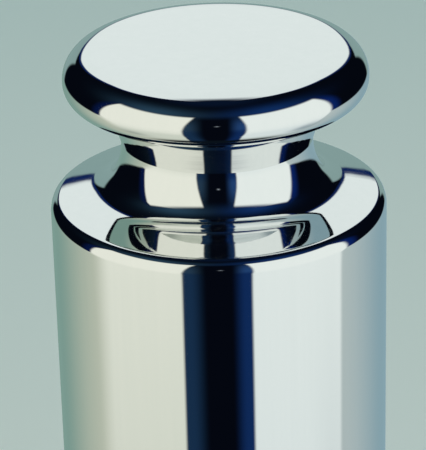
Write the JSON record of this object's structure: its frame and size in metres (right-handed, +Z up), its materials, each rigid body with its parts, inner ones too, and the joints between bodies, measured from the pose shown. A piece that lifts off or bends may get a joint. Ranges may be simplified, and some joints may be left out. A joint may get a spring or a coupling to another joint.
{
  "type": "knob calibration weight",
  "caption": "Polished steel mass standard: a plain cylinder with a rounded shoulder, a waisted neck and a wide flat-topped knob to lift it by.",
  "frame": {"origin": "centre of the flat rim that the weight stands on", "axes": "+Z up the turning axis from the base to the knob's top; X and Y are any two level directions, since the weight is round"},
  "size_m": [0.048, 0.048, 0.08],
  "materials": {
    "polished_steel": "mirror polished, with faint turning rings round the neck"
  },
  "bodies": {
    "root": {"weight": "polished_steel"}
  },
  "joints": []
}
